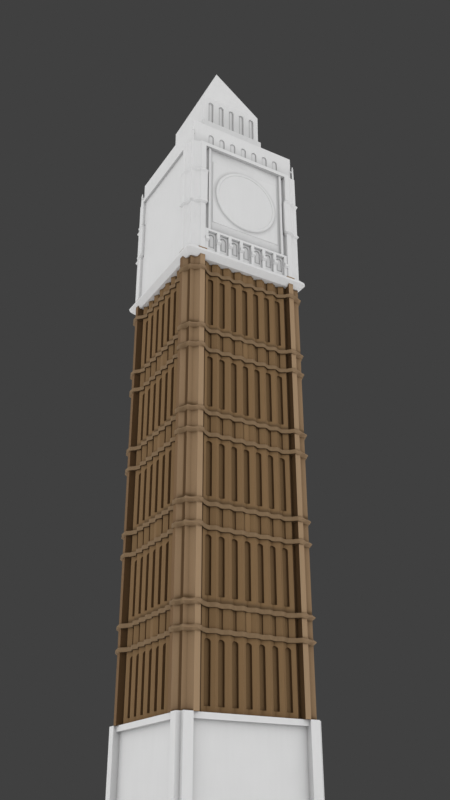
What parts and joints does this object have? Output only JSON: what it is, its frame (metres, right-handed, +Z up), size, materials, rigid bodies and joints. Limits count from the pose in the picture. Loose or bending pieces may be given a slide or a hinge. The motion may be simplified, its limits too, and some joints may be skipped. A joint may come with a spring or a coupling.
{
  "type": "scale model of a clock tower",
  "caption": "Tall square clock tower: plain pale base, panelled brown shaft with wavy string courses, pale clock stage with round dials, attic, belfry and pyramid roof, as a scale model.",
  "frame": {"origin": "on the ground at the middle of the plan", "axes": "+Z up to the roof's point, -Y out of the clock front, +X to the right as seen from that front"},
  "size_m": [1.242, 1.242, 7.688],
  "materials": {
    "pale_stone": "matte",
    "brown_stone": "matte",
    "dial_face": "satin",
    "roof_covering": "matte"
  },
  "bodies": {
    "root": {"buttress_front_left": "brown_stone", "buttress_front_right": "brown_stone", "buttress_back_right": "brown_stone", "buttress_back_left": "brown_stone", "shaft_front_wall": "brown_stone", "shaft_right_wall": "brown_stone", "shaft_back_wall": "brown_stone", "shaft_left_wall": "brown_stone", "string_course_1": "brown_stone", "string_course_2": "brown_stone", "string_course_3": "brown_stone", "string_course_4": "brown_stone", "string_course_5": "brown_stone", "string_course_6": "brown_stone", "string_course_7": "brown_stone", "string_course_8": "brown_stone", "string_course_9": "brown_stone", "base_corner_piers": "pale_stone", "base_front_wall": "pale_stone", "base_right_wall": "pale_stone", "base_back_wall": "pale_stone", "base_left_wall": "pale_stone", "cornice": "pale_stone", "stage_pier_front_left": "pale_stone", "stage_pier_front_right": "pale_stone", "stage_pier_back_right": "pale_stone", "stage_pier_back_left": "pale_stone", "clock_wall_front": "pale_stone", "clock_wall_back": "pale_stone", "stage_left_wall": "pale_stone", "stage_right_wall": "pale_stone", "clock_panel_front": "pale_stone", "clock_panel_back": "pale_stone", "dial_ring_front": "pale_stone", "dial_ring_back": "pale_stone", "arcade_front": "pale_stone", "arcade_back": "pale_stone", "pier_collars": "pale_stone", "top_mouldings": "pale_stone", "attic_parapet": "pale_stone", "attic_deck": "pale_stone", "pinnacles": "pale_stone", "belfry_plinth": "pale_stone", "belfry_walls": "pale_stone", "dial_front": "dial_face", "dial_back": "dial_face", "roof": "roof_covering"}
  },
  "joints": []
}
